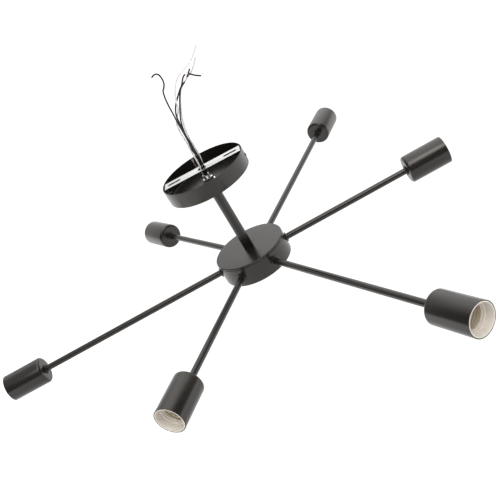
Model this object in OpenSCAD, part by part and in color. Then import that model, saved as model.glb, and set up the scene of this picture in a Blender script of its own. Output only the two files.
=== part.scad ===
// Sputnik chandelier: canopy, stem, drum hub and six arms with open lamp cups
// The origin is the middle of the canopy's rim, on the ceiling; the light hangs below it

/* [Canopy] */
// Outer diameter of the canopy
canopy_d = 120; // [100:1:180]
// Height of the canopy
canopy_h = 22.5; // [19:0.5:40]
// Thickness of the canopy's wall and floor
canopy_wall = 1; // [0.6:0.1:1.6]
// Outer radius of the canopy's bottom edge
canopy_edge = 2; // [1.8:0.1:4]

/* [Crossbar] */
// Width of the strap across the canopy
bar_w = 20; // [17:0.5:30]
// Thickness of the strap
bar_t = 1.2; // [1:0.1:2.5]
// Height of the strap's ends, which are bent down
bar_tab = 16.5; // [15.5:0.5:17]
// Diameter of the hole for the leads in the middle of the strap
bar_hole_d = 12; // [9:0.5:16]
// Distance between the middles of the two mounting slots
slot_spacing = 85; // [70:0.5:88]
// Length of a mounting slot over its round ends
slot_l = 19.5; // [8:0.5:22]
// Width of a mounting slot
slot_w = 5.5; // [3.5:0.1:6]

/* [Side screws] */
// Thread diameter of the two screws through the canopy's wall
side_screw_d = 4; // [3:0.5:5]
// Length of a side screw under its head
side_screw_l = 9; // [6:0.5:14]
// Diameter of a side screw's head
side_head_d = 5.5; // [5.5:0.1:8]
// Height of a side screw's head
side_head_h = 0.9; // [0.8:0.1:3]
// How far below the rim the side screws lie
side_screw_drop = 12; // [11:0.5:13]

/* [Stem] */
// Length of the stem tube between the canopy and the hub
stem_l = 112; // [60:1:600]
// Outer diameter of the stem tube
stem_d = 14.4; // [13:0.1:20]
// Wall of the stem tube
stem_wall = 1.2; // [0.8:0.1:1.4]
// Thread diameter of the hollow rod that holds the stem together
rod_d = 9.8; // [9.4:0.1:10.2]
// Diameter of the rod's bore
rod_bore_d = 8; // [7.6:0.1:8.4]
// How far below the rim the rod's top end lies
rod_drop = 10.5; // [8:0.5:12]
// How far the rod stands out below the hub nut
rod_tail = 2; // [1:0.5:3]
// Width across the flats of the rod's two nuts
rod_nut_af = 14; // [13:0.5:17]
// Height of each of the rod's nuts
rod_nut_h = 5; // [3:0.5:5.5]
// Outer diameter of the toothed lock washer
washer_d = 19.5; // [17:0.5:24]
// Thickness of the lock washer
washer_t = 1; // [0.6:0.1:1.6]
// Number of teeth round the lock washer
washer_teeth = 12; // [8:1:16]

/* [Hub] */
// Outer diameter of the hub
hub_d = 104; // [90:1:160]
// Height of the hub with its lid
hub_h = 32; // [27:0.5:40]
// Depth of the arms' axes below the top of the lid
arm_drop = 16.5; // [15.5:0.5:17]
// Thickness of the lid
lid_t = 1.2; // [0.8:0.1:2]
// Height of the lid's turned-down rim
lid_rim = 2.8; // [2:0.1:4]
// Outer bend of the lid's rim
lid_bend = 1.4; // [0.8:0.1:2]
// Gap under the lid's rim
rim_gap = 0.4; // [0.2:0.1:0.8]
// Thickness of the drum's wall and floor
drum_wall = 1.2; // [0.8:0.1:2]
// Outer radius of the drum's bottom edge
drum_edge = 2.2; // [2.1:0.1:4]
// Distance of the three pillars from the axis
pillar_r = 34; // [28:0.5:34]
// Diameter of a pillar
pillar_d = 7; // [6:0.5:9]
// Thread diameter of the screws up into the pillars
hub_screw_d = 3; // [2.5:0.5:4]
// Length of a hub screw under its head
hub_screw_l = 8; // [6:0.5:10]
// Diameter of a hub screw's head
hub_head_d = 5.6; // [5.2:0.1:7]
// Height of a hub screw's head
hub_head_h = 1.6; // [1:0.1:2.4]
// Diameter of the terminal block
block_d = 24; // [20:0.5:26]
// Height of the terminal block
block_h = 17; // [14:0.5:17.2]

/* [Arms] */
// Heading of each arm in degrees from the crossbar, as the photographed light is put together
arm_headings = [4.3, 62.6, 124.2, 184, 243.5, 301.8]; // [0:0.1:360]
// Distance from the stem's axis to the mouths of the short arms
short_reach = 304.5; // [200:0.5:500]
// Distance from the stem's axis to the mouths of the long arms
long_reach = 408; // [200:0.5:600]
// How much each arm falls short of its kind's reach, first to sixth
arm_trims = [0, 0, 0, 0, 0, 2.5]; // [0:0.5:10]
// Outer diameter of an arm's tube
arm_d = 9; // [8:0.1:9.5]
// Wall of an arm's tube
arm_wall = 1; // [0.6:0.1:1.2]
// Width across the flats of the arms' locknuts
locknut_af = 12; // [11.5:0.5:14]
// Height of the arms' locknuts
locknut_h = 2; // [2:0.5:5]
// How far a tube stands out inside its inner locknut
arm_tail = 2.5; // [1:0.5:4]

/* [Lamp cups] */
// Outer diameter of a cup
cup_d = 39.5; // [39:0.5:50]
// Length of a cup
cup_l = 60; // [59:0.5:80]
// Thickness of a cup's wall and back
cup_wall = 0.8; // [0.6:0.1:1.2]
// Outer radius of a cup's back edge
cup_edge = 4; // [2:0.5:8]

/* [Lamp holders] */
// Radial thickness of the holder's edge at the mouth
skirt_wall = 1.3; // [1.2:0.1:2.4]
// Depth of the holder's smooth skirt
skirt_depth = 10.5; // [6:0.5:12]
// Diameter of the step between the skirt and the screw shell
step_d = 31; // [30:0.5:32]
// Depth of that step below the skirt
step_depth = 2.5; // [1:0.5:4]
// Least inner diameter of the screw shell
shell_bore_d = 26.6; // [26:0.1:27]
// Thickness taken up by the shell's rolled thread
shell_t = 0.8; // [0.5:0.1:1]
// Length of the screw shell
shell_l = 20; // [18:0.5:22]
// Thickness of the holder's floor under the contact's well
floor_t = 3; // [2:0.5:4]
// Diameter of the holder's neck behind the floor
neck_d = 16; // [14:0.5:20]

/* [Centre contacts] */
// Diameter of the contact's head
contact_d = 7; // [5:0.5:9]
// Thickness of the contact's head
contact_t = 1.8; // [1:0.1:2.5]
// Travel of the contact when a bulb presses it
contact_travel = 1.8; // [1:0.1:2]
// Diameter of the contact's stem
contact_stem_d = 5; // [3:0.5:5.4]

/* [Leads] */
// Diameter of the black and white leads over their insulation
lead_d = 2; // [1.6:0.1:2.2]
// Diameter of the thin earth lead
earth_d = 1.4; // [1:0.1:1.6]
// Diameter of the leads inside the arms
arm_lead_d = 1.8; // [1.4:0.1:2]

/* [Clearances] */
// Radial gap round a thread in its nut or a pin in its hole
thread_gap = 0.05; // [0.02:0.01:0.1]
// Radial gap round a screw or rod in a plain hole
hole_gap = 0.2; // [0.1:0.05:0.4]
// Gap between the strap's corners and the canopy's wall
bar_gap = 0.5; // [0.3:0.1:1]
// Gap between parts that lie loosely inside each other
slip_gap = 0.3; // [0.2:0.05:0.4]
// Gap between a locknut and the hub's round wall
seat_gap = 0.1; // [0.05:0.05:0.3]

/* [Hidden] */
$fn = 96;
arms = [1:6];

// Heights, all below the rim
floor_z = canopy_wall - canopy_h;
lid_top_z = -canopy_h - stem_l;
lid_under_z = lid_top_z - lid_t;
arm_z = lid_top_z - arm_drop;
hub_bottom_z = lid_top_z - hub_h;
drum_floor_z = hub_bottom_z + drum_wall;
hub_nut_z = lid_under_z - rod_nut_h;
rod_top_z = -rod_drop;
rod_end_z = hub_nut_z - rod_tail;
block_top_z = drum_floor_z + block_h;

// Canopy and strap
canopy_r = canopy_d / 2;
canopy_in_r = canopy_r - canopy_wall;
bar_half_l = sqrt(pow(canopy_in_r, 2) - pow(bar_w / 2, 2)) - bar_gap;

// Cross recess of a screw's head, as shares of its diameter
cross_l = 0.6;
cross_w = 0.15;

// Lock washer
washer_in_r = rod_d / 2 + hole_gap;
tooth_root_r = rod_nut_af / 2 + 0.4;
tooth_slit = 1.4;

// Pillars stand between the arms
pillar_turns = [30, 150, 270];
pillar_bore_depth = hub_screw_l + 1;

// Arm, measured along its axis from the stem
hub_r = hub_d / 2;
drum_in_r = hub_r - drum_wall;
drum_h = hub_h - lid_t;
drum_step_h = hub_h - lid_rim - rim_gap;
lid_seat_r = hub_r - lid_t - slip_gap;
locknut_corner = locknut_af / 2 / cos(30);
inner_nut_r = sqrt(pow(drum_in_r, 2) - pow(locknut_corner, 2));
tube_start_r = inner_nut_r - locknut_h - arm_tail;

// Lamp holder, measured inwards from the mouth
cup_in_r = cup_d / 2 - cup_wall;
holder_r = cup_in_r - slip_gap;
shell_depth = skirt_depth + step_depth;
shell_in_r = shell_bore_d / 2;
shell_out_r = shell_in_r + shell_t;
floor_depth = shell_depth + shell_l;
well_depth = floor_depth + contact_t + contact_travel + 0.9;
pocket_depth = well_depth + floor_t;
neck_start = pocket_depth + 6;
holder_end = cup_l - cup_wall;
pocket_r = neck_d / 2 - 2;
shoulder_depth = neck_start - 3;
tube_end_depth = neck_start + 0.5;
lip_r = 10;
lip_t = 0.8;

// Centre contact, measured inwards from the mouth
contact_drop = 0.1;
well_r = contact_d / 2 + 3.5;
clip_t = 0.8;
clip_d = contact_stem_d + 2.2;
contact_back = floor_depth + contact_drop + contact_t;
clip_depth = pocket_depth + slip_gap;
contact_end = clip_depth + clip_t + 1.4;
contact_stem_l = contact_end - contact_back + contact_t / 2;

// Leads inside the arms, side by side
arm_lead_side = 1.6;
arm_lead_end = tube_end_depth - 1.5;

// Routes of the free leads, from inside the rod to their ends
black_route_1 = [
    [0.1, -2.6, -14], [0.1, -2.6, -8], [2, -2.7, 6.1], [2.8, -3.4, 19], [2.2, -3.6, 29.8],
    [3.6, -3.6, 44], [4, -3.6, 56.1], [4.2, -3.6, 69.8], [5, -3.6, 82.9], [5.4, -3.4, 94.6],
    [6.8, -3, 106.7], [9, -2.8, 114.4], [12, -2.8, 117.6], [14.3, -2.8, 121.2], [15.5, -2.8, 125.2],
    [15.4, -2.8, 131.6], [14.2, -2.8, 135.2], [11.2, -2.8, 137.2], [8, -2.8, 137], [5.2, -2.8, 135.7]
];
black_route_2 = [
    [2.4, -1.1, -14], [2.4, -1.1, -8], [4.2, -1.6, 5.3], [4.6, -1.3, 17.2], [4.6, -1.2, 27.5],
    [4.7, -1.2, 42.4], [4.4, -1.2, 55], [5.7, -1.2, 68.1], [7.4, -1.2, 79.3], [10.7, -1, 86.4],
    [14, -0.8, 91.2], [20.9, -0.8, 98.5], [27.7, -0.9, 104.9], [32.7, -1, 109], [35.6, -1, 112.5],
    [38.5, -1, 116], [42.3, -1, 118.6], [46.4, -0.8, 118.2], [49.9, -0.6, 115.3], [54.2, 0, 111.3],
    [60.1, 0.4, 107.3]
];
black_route_3 = [
    [-2, 1.7, -14], [-2, 1.7, -8], [2.2, 1, 6.3], [3.5, 1.2, 17.6], [3.3, 1.2, 28.1], [3.8, 1.2, 42],
    [4.9, 1.2, 53.8], [7.4, 1.3, 66.2], [12.1, 1.4, 77.3], [17.7, 1.5, 87.6], [22.9, 1.5, 96.6],
    [28.9, 1.5, 105], [34.5, 1.7, 108.7], [39.4, 1.8, 111.3], [44.2, 1.8, 114.9], [48.5, 1.8, 118.7],
    [51.9, 1.7, 121.8]
];
white_route_1 = [
    [-2.4, -1.1, -14], [-2.4, -1.1, -8], [-0.1, -4, 7.7], [0.1, -3.4, 17.4], [-0.1, -2.2, 29.7],
    [0.3, -1, 44.8], [0, 0.4, 56.9], [1.7, 1.4, 68.7], [6.7, 1.4, 75.7], [11.3, 0.2, 81.1],
    [14.2, -2.4, 86.4], [15.9, -3.6, 91.8], [18.2, -3.7, 99.4], [22.9, -3.4, 108.4],
    [27.6, -3.2, 115.1], [33.7, -3.2, 120.4], [42.8, -3.2, 124.6], [52.6, -3, 127.9],
    [59.4, -2.8, 131.4], [65, -2.6, 136.1], [73.6, -2.4, 144.4]
];
white_route_2 = [
    [2.1, 1.7, -14], [2.1, 1.7, -8], [4.4, 3.4, 6.5], [5.9, 3.8, 17.6], [6, 4, 28.6], [5.9, 4, 39.7],
    [6.8, 4, 51.7], [9.4, 4, 64.2], [13.5, 4, 75.6], [18.3, 4.2, 86.4], [23.9, 4.2, 96.7],
    [29.7, 4.2, 104.5], [37.5, 4.2, 109.7], [45.1, 4.2, 113.7], [51.2, 4.2, 116.8], [56.3, 4.2, 120.9],
    [61.1, 4.2, 126], [64.8, 4.2, 130.3]
];
earth_route = [
    [0, 2.9, -14], [0, 2.9, -9.5], [-1.1, 5.9, -6.6], [-4.7, 13.7, -5.3], [-9, 25, -4.6],
    [-11.1, 33, -3.1], [-11.9, 40.5, -0.6], [-11.9, 46.5, 1.9]
];

// Geometry shared by several pieces

function reach(n) = (n % 2 == 1 ? short_reach : long_reach) - arm_trims[n - 1];

module at_mouth(n) {
    // Z points out of the cup's mouth
    rotate([0, 0, arm_headings[n - 1]]) translate([reach(n), 0, arm_z]) rotate([0, 90, 0]) children();
}

module ring(outer_r, inner_r, height) {
    difference() {
        cylinder(r = outer_r, h = height);
        translate([0, 0, -1]) cylinder(r = inner_r, h = height + 2);
    }
}

module hex_nut(across_flats, bore_r, height) {
    difference() {
        cylinder(r = across_flats / 2 / cos(30), h = height, $fn = 6);
        translate([0, 0, -1]) cylinder(r = bore_r, h = height + 2);
    }
}

module filled_cup(radius, height, edge) {
    // Half section of a round cup, its bottom at zero, with a round bottom edge
    translate([0, edge]) square([radius, height - edge]);
    square([radius - edge, height]);
    intersection() {
        translate([radius - edge, edge]) circle(r = edge);
        square([radius, height]);
    }
}

module cup_shell(radius, height, edge, wall) {
    rotate_extrude() difference() {
        filled_cup(radius, height, edge);
        translate([0, wall]) filled_cup(radius - wall, height, max(edge - wall, 0.4));
    }
}

module pan_screw(thread_d, length, head_d, head_h) {
    // Head above zero, thread below it
    translate([0, 0, -length]) cylinder(d = thread_d, h = length + head_h / 4);
    difference() {
        cylinder(d = head_d, h = head_h);
        for (turn = [0, 90])
            rotate([0, 0, turn]) translate([0, 0, head_h])
                cube([cross_l * head_d, cross_w * head_d, head_h], center = true);
    }
}

// Tube swept along a route of points
function unit(v) = v / norm(v);
function heading(route, i) =
    unit(route[min(i + 1, len(route) - 1)] - route[max(i - 1, 0)]);
function tube_ring(route, i, radius, aside) =
    let (ahead = heading(route, i), u = unit(cross(ahead, aside)), v = cross(ahead, u))
    [for (k = [0:7]) route[i] + radius * (cos(k * 45) * u + sin(k * 45) * v)];
module lead_tube(route, diameter, aside) {
    rings = len(route);
    points = [for (i = [0:rings - 1]) each tube_ring(route, i, diameter / 2, aside)];
    left_sides = [for (i = [0:rings - 2], k = [0:7])
        [i * 8 + k, (i + 1) * 8 + k, (i + 1) * 8 + (k + 1) % 8]];
    right_sides = [for (i = [0:rings - 2], k = [0:7])
        [i * 8 + k, (i + 1) * 8 + (k + 1) % 8, i * 8 + (k + 1) % 8]];
    first_cap = [for (k = [0:7]) k];
    last_cap = [for (k = [7:-1:0]) (rings - 1) * 8 + k];
    polyhedron(points = points, faces = concat([first_cap], left_sides, right_sides, [last_cap]));
}

// Canopy and what it carries

module canopy() {
    color("#1c1a19") difference() {
        translate([0, 0, -canopy_h]) cup_shell(canopy_r, canopy_h, canopy_edge, canopy_wall);
        translate([0, 0, -canopy_h - 1]) cylinder(r = rod_d / 2 + hole_gap, h = canopy_wall + 2);
        translate([0, 0, -side_screw_drop]) rotate([0, 90, 0])
            cylinder(d = side_screw_d + 2 * hole_gap, h = canopy_d + 2, center = true);
    }
}

module slot_outline() {
    straight = slot_l - slot_w;
    square([straight, slot_w], center = true);
    translate([straight / 2, 0]) circle(d = slot_w);
    translate([-straight / 2, 0]) circle(d = slot_w);
}

module crossbar() {
    color("#e6e9e6") difference() {
        union() {
            translate([-bar_half_l, -bar_w / 2, -bar_t]) cube([2 * bar_half_l, bar_w, bar_t]);
            translate([-bar_half_l, -bar_w / 2, -bar_tab]) cube([bar_t, bar_w, bar_tab]);
            translate([bar_half_l - bar_t, -bar_w / 2, -bar_tab]) cube([bar_t, bar_w, bar_tab]);
        }
        translate([0, 0, -bar_t - 1]) cylinder(d = bar_hole_d, h = bar_t + 2);
        for (side = [-1, 1])
            translate([side * slot_spacing / 2, 0, -bar_t - 1])
                linear_extrude(bar_t + 2) slot_outline();
        translate([0, 0, -side_screw_drop]) rotate([0, 90, 0])
            cylinder(d = side_screw_d + 2 * thread_gap, h = canopy_d, center = true);
    }
}

module side_screws() {
    color("#8d8a86") for (side = [-1, 1])
        translate([side * canopy_r, 0, -side_screw_drop]) rotate([0, side * 90, 0])
            pan_screw(side_screw_d, side_screw_l, side_head_d, side_head_h);
}

module lock_washer() {
    color("#c9c9c6") translate([0, 0, floor_z]) difference() {
        ring(washer_d / 2, washer_in_r, washer_t);
        for (i = [1:washer_teeth])
            rotate([0, 0, i * 360 / washer_teeth])
                translate([tooth_root_r, -tooth_slit / 2, -1]) cube([washer_d, tooth_slit, washer_t + 2]);
    }
}

// Stem and hub

module canopy_nut() {
    color("#d2d2cf") translate([0, 0, floor_z + washer_t])
        hex_nut(rod_nut_af, rod_d / 2 + thread_gap, rod_nut_h);
}

module threaded_rod() {
    color("#b9b8b4") translate([0, 0, rod_end_z])
        ring(rod_d / 2, rod_bore_d / 2, rod_top_z - rod_end_z);
}

module stem_tube() {
    color("#1c1a19") translate([0, 0, lid_top_z]) ring(stem_d / 2, stem_d / 2 - stem_wall, stem_l);
}

module hub_lid() {
    color("#242120") difference() {
        translate([0, 0, lid_top_z]) rotate([180, 0, 0]) cup_shell(hub_r, lid_rim, lid_bend, lid_t);
        translate([0, 0, lid_under_z - 1]) cylinder(r = rod_d / 2 + hole_gap, h = lid_t + 2);
    }
}

module at_pillars() {
    for (turn = pillar_turns)
        rotate([0, 0, turn]) translate([pillar_r, 0, 0]) children();
}

module drum_outline() {
    // Half section of the drum, stepped in at its top to fit inside the lid's rim
    difference() {
        union() {
            filled_cup(hub_r, drum_step_h, drum_edge);
            square([lid_seat_r, drum_h]);
        }
        translate([0, drum_wall])
            filled_cup(drum_in_r, drum_step_h - 2 * drum_wall, max(drum_edge - drum_wall, 0.4));
        translate([0, drum_edge]) square([lid_seat_r - drum_wall, drum_h]);
    }
}

module hub_drum() {
    color("#1c1a19") difference() {
        translate([0, 0, hub_bottom_z]) rotate_extrude() drum_outline();
        for (n = arms)
            rotate([0, 0, arm_headings[n - 1]]) translate([drum_in_r - 4, 0, arm_z]) rotate([0, 90, 0])
                cylinder(r = arm_d / 2 + thread_gap, h = drum_wall + 8);
        at_pillars() translate([0, 0, hub_bottom_z - 1])
            cylinder(d = hub_screw_d + 2 * hole_gap, h = drum_wall + 2);
    }
}

module hub_nut() {
    color("#d2d2cf") translate([0, 0, hub_nut_z]) hex_nut(rod_nut_af, rod_d / 2 + thread_gap, rod_nut_h);
}

module hub_pillars() {
    color("#b9b8b4") at_pillars() translate([0, 0, drum_floor_z]) difference() {
        cylinder(d = pillar_d, h = lid_under_z - drum_floor_z);
        translate([0, 0, -1]) cylinder(d = hub_screw_d + 2 * thread_gap, h = pillar_bore_depth + 1);
    }
}

module hub_screws() {
    color("#2a2827") at_pillars() translate([0, 0, hub_bottom_z]) rotate([180, 0, 0])
        pan_screw(hub_screw_d, hub_screw_l, hub_head_d, hub_head_h);
}

module terminal_block() {
    color("#e8e2d4") translate([0, 0, drum_floor_z]) cylinder(d = block_d, h = block_h);
}

module riser(route, diameter) {
    translate([route[0][0], route[0][1], block_top_z]) cylinder(d = diameter, h = route[0][2] - block_top_z);
}

module riser_leads() {
    color("#3a3837") {
        riser(black_route_1, lead_d);
        riser(black_route_2, lead_d);
        riser(black_route_3, lead_d);
        riser(white_route_1, lead_d);
        riser(white_route_2, lead_d);
        riser(earth_route, earth_d);
    }
}

module arm_leads() {
    color("#3a3837") for (n = arms, side = [-1, 1])
        rotate([0, 0, arm_headings[n - 1]])
            translate([block_d / 2 + slip_gap, side * arm_lead_side, arm_z]) rotate([0, 90, 0])
                cylinder(d = arm_lead_d, h = reach(n) - arm_lead_end - block_d / 2 - slip_gap);
}

// Pieces of one arm

module arm_tube(n) {
    color("#1c1a19") at_mouth(n) translate([0, 0, tube_start_r - reach(n)])
        ring(arm_d / 2, arm_d / 2 - arm_wall, reach(n) - tube_end_depth - tube_start_r);
}

module arm_locknuts(n) {
    starts = [inner_nut_r - seat_gap - locknut_h, hub_r + seat_gap, reach(n) - cup_l - locknut_h];
    color("#141312") for (start = starts)
        at_mouth(n) translate([0, 0, start - reach(n)])
            hex_nut(locknut_af, arm_d / 2 + thread_gap, locknut_h);
}

module lamp_cup(n) {
    color("#1c1a19") at_mouth(n) translate([0, 0, -cup_l]) difference() {
        cup_shell(cup_d / 2, cup_l, cup_edge, cup_wall);
        translate([0, 0, -1]) cylinder(r = arm_d / 2 + hole_gap, h = cup_wall + 2);
    }
}

module bore(radius, from_depth, to_depth) {
    translate([0, 0, -to_depth]) cylinder(r = radius, h = to_depth - from_depth);
}

module lamp_holder(n) {
    color("#e8e2d4") at_mouth(n) difference() {
        union() {
            translate([0, 0, -shoulder_depth]) cylinder(r = holder_r, h = shoulder_depth);
            translate([0, 0, -neck_start])
                cylinder(r1 = neck_d / 2, r2 = holder_r, h = neck_start - shoulder_depth);
            translate([0, 0, -holder_end]) cylinder(d = neck_d, h = holder_end - neck_start);
        }
        bore(holder_r - skirt_wall, -1, skirt_depth);
        bore(step_d / 2, skirt_depth - 1, shell_depth);
        bore(shell_out_r + thread_gap, shell_depth - 1, floor_depth);
        bore(well_r, floor_depth - 1, well_depth);
        bore(contact_stem_d / 2 + thread_gap, well_depth - 1, pocket_depth + 1);
        bore(pocket_r, pocket_depth, neck_start);
        bore(arm_d / 2 + thread_gap, neck_start - 1, holder_end + 1);
    }
}

module screw_shell(n) {
    color("#b8a98c") at_mouth(n) translate([0, 0, -floor_depth]) {
        ring(shell_out_r, shell_in_r, shell_l);
        ring(shell_out_r, lip_r, lip_t);
    }
}

module centre_contact(n) {
    color("#c2a35a") at_mouth(n) {
        translate([0, 0, -contact_back]) cylinder(d = contact_d, h = contact_t);
        translate([0, 0, -contact_end]) cylinder(d = contact_stem_d, h = contact_stem_l);
        translate([0, 0, -clip_depth - clip_t]) cylinder(d = clip_d, h = clip_t);
    }
}

// Free leads

module black_lead_1() color("#1a1a1a") lead_tube(black_route_1, lead_d, [0, 1, 0]);
module black_lead_2() color("#1a1a1a") lead_tube(black_route_2, lead_d, [0, 1, 0]);
module black_lead_3() color("#1a1a1a") lead_tube(black_route_3, lead_d, [0, 1, 0]);
module white_lead_1() color("#f2f2f0") lead_tube(white_route_1, lead_d, [0, 1, 0]);
module white_lead_2() color("#f2f2f0") lead_tube(white_route_2, lead_d, [0, 1, 0]);
module earth_lead() color("#a4705c") lead_tube(earth_route, earth_d, [1, 0, 0]);

canopy();
crossbar();
side_screws();
lock_washer();
canopy_nut();
threaded_rod();
stem_tube();
hub_lid();
hub_drum();
hub_nut();
hub_pillars();
hub_screws();
terminal_block();
riser_leads();
arm_leads();
arm_tube(1);  // arm_tube_1
arm_tube(2);  // arm_tube_2
arm_tube(3);  // arm_tube_3
arm_tube(4);  // arm_tube_4
arm_tube(5);  // arm_tube_5
arm_tube(6);  // arm_tube_6
arm_locknuts(1);  // arm_locknuts_1
arm_locknuts(2);  // arm_locknuts_2
arm_locknuts(3);  // arm_locknuts_3
arm_locknuts(4);  // arm_locknuts_4
arm_locknuts(5);  // arm_locknuts_5
arm_locknuts(6);  // arm_locknuts_6
lamp_cup(1);  // lamp_cup_1
lamp_cup(2);  // lamp_cup_2
lamp_cup(3);  // lamp_cup_3
lamp_cup(4);  // lamp_cup_4
lamp_cup(5);  // lamp_cup_5
lamp_cup(6);  // lamp_cup_6
lamp_holder(1);  // lamp_holder_1
lamp_holder(2);  // lamp_holder_2
lamp_holder(3);  // lamp_holder_3
lamp_holder(4);  // lamp_holder_4
lamp_holder(5);  // lamp_holder_5
lamp_holder(6);  // lamp_holder_6
screw_shell(1);  // screw_shell_1
screw_shell(2);  // screw_shell_2
screw_shell(3);  // screw_shell_3
screw_shell(4);  // screw_shell_4
screw_shell(5);  // screw_shell_5
screw_shell(6);  // screw_shell_6
centre_contact(1);  // centre_contact_1
centre_contact(2);  // centre_contact_2
centre_contact(3);  // centre_contact_3
centre_contact(4);  // centre_contact_4
centre_contact(5);  // centre_contact_5
centre_contact(6);  // centre_contact_6
black_lead_1();
black_lead_2();
black_lead_3();
white_lead_1();
white_lead_2();
earth_lead();
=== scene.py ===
import math

import bmesh
import bpy
import numpy as np
from mathutils import Matrix, Vector


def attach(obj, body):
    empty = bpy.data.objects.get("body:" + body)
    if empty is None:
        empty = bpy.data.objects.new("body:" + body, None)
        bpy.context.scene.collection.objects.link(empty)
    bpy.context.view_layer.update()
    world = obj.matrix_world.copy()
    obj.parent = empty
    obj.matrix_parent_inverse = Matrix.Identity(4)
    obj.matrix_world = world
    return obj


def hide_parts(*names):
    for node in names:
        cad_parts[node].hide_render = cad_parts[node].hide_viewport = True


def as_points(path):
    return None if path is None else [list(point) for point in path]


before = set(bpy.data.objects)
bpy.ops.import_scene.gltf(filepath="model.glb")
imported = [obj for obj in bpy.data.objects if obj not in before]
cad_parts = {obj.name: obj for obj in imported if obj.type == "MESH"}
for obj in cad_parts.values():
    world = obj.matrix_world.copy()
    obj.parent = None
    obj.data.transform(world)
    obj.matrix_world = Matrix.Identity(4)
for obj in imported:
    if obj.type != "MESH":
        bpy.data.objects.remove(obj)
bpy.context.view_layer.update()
mm = 0.001

# Camera, fitted to the rims, the hub and the arms of the photographed light
view = {
    "place": (0.14665, -0.91971, 0.31586), "turn": (1.050061, 0.481944, -0.100410),
    "lens": 52.664, "sensor": 36.0, "near": 0.01, "far": 60.0,
}


def linked(name, data):
    thing = bpy.data.objects.new(name, data)
    bpy.context.scene.collection.objects.link(thing)
    return thing


cameraData = bpy.data.cameras.new("camera")
cameraData.lens = view["lens"]
cameraData.sensor_width = view["sensor"]
cameraData.clip_start = view["near"]
cameraData.clip_end = view["far"]
camera = linked("camera", cameraData)
camera.location = view["place"]
camera.rotation_euler = view["turn"]
bpy.context.scene.camera = camera
print("camera placed")


# Materials

def startMaterial(name):
    material = bpy.data.materials.new(name)
    material.use_nodes = True
    tree = material.node_tree
    shader = next(n for n in tree.nodes if n.type == "BSDF_PRINCIPLED")
    return material, tree, shader


def feed(tree, node, inputs):
    # Each input is another node's socket or a plain value
    for label, value in inputs.items():
        if isinstance(value, bpy.types.NodeSocket):
            tree.links.new(value, node.inputs[label])
        else:
            node.inputs[label].default_value = value
    return node


def addNode(tree, kind, inputs, **settings):
    node = tree.nodes.new(kind)
    for label, value in settings.items():
        setattr(node, label, value)
    return feed(tree, node, inputs)


def maths(tree, operation, *values):
    return addNode(tree, "ShaderNodeMath", dict(enumerate(values)), operation=operation).outputs[0]


def noiseOn(tree, coords, scale, detail, roughness=0.5, stretch=None):
    if stretch:
        coords = addNode(tree, "ShaderNodeMapping", {"Vector": coords, "Scale": stretch}).outputs["Vector"]
    return addNode(tree, "ShaderNodeTexNoise", {
        "Vector": coords, "Scale": scale, "Detail": detail, "Roughness": roughness}).outputs["Fac"]


def rangeOf(tree, value, low, high, fromLow=0.3, fromHigh=0.7):
    return addNode(tree, "ShaderNodeMapRange", {
        "Value": value, "From Min": fromLow, "From Max": fromHigh, "To Min": low, "To Max": high,
    }).outputs["Result"]


def blendOf(tree, factor, first, second):
    node = addNode(tree, "ShaderNodeMix", {"Factor": factor}, data_type="RGBA")
    for socket, tone in zip((s for s in node.inputs if s.type == "RGBA"), (first, second)):
        socket.default_value = (*tone, 1.0)
    return next(s for s in node.outputs if s.type == "RGBA")


def bumpOf(tree, height, distance, under=None):
    inputs = {"Height": height, "Distance": distance, "Strength": 1.0}
    if under:
        inputs["Normal"] = under
    return addNode(tree, "ShaderNodeBump", inputs).outputs["Normal"]


def surfaceMaterial(name, finish):
    # One recipe for paint, plating and plastic: two tones, an uneven gloss, and soft waves and fine grain,
    # which are given as a noise scale and a height in metres
    material, tree, shader = startMaterial(name)
    coords = tree.nodes.new("ShaderNodeTexCoord").outputs[finish.get("coords", "Object")]
    stretch = finish.get("stretch")
    tone = noiseOn(tree, coords, finish["toneScale"], detail=4.0, roughness=0.6, stretch=stretch)
    gloss = noiseOn(tree, coords, finish["glossScale"], detail=5.0, roughness=0.6, stretch=stretch)
    (waveScale, waveHeight), (grainScale, grainHeight) = finish["waves"], finish["grain"]
    waves = bumpOf(tree, noiseOn(tree, coords, waveScale, detail=2.0), waveHeight)
    grain = noiseOn(tree, coords, grainScale, detail=3.0, stretch=stretch)
    feed(tree, shader, {
        "Base Color": blendOf(tree, rangeOf(tree, tone, 0.0, 1.0), *finish["tones"]),
        "Roughness": rangeOf(tree, gloss, *finish["roughness"]),
        "Normal": bumpOf(tree, grain, grainHeight, waves),
        "Metallic": finish.get("metallic", 0.0), "IOR": finish.get("ior", 1.5),
        "Specular Tint": (*finish.get("tint", (1.0, 1.0, 1.0)), 1.0),
        "Anisotropic": finish.get("anisotropic", 0.0),
    })
    return material


blackPaint = surfaceMaterial("blackPaint", {
    "tones": ((0.0078, 0.0065, 0.0056), (0.0096, 0.0081, 0.0070)), "toneScale": 25.0, "tint": (1.0, 0.95, 0.90),
    "roughness": (0.24, 0.27), "glossScale": 40.0, "waves": (60.0, 8e-6), "grain": (1500.0, 2e-6),
})
blackNut = surfaceMaterial("blackNut", {
    "tones": ((0.008, 0.008, 0.008), (0.014, 0.013, 0.012)), "toneScale": 200.0, "ior": 1.55,
    "roughness": (0.22, 0.36), "glossScale": 500.0, "waves": (400.0, 1e-5), "grain": (2600.0, 6e-6),
})
zincStrap = surfaceMaterial("zincStrap", {
    "tones": ((0.57, 0.575, 0.565), (0.63, 0.635, 0.625)), "toneScale": 60.0, "stretch": (1.0, 6.0, 1.0),
    "roughness": (0.30, 0.42), "glossScale": 140.0, "waves": (120.0, 2e-5), "grain": (900.0, 6e-6),
    "metallic": 1.0, "anisotropic": 0.35,
})
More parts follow.
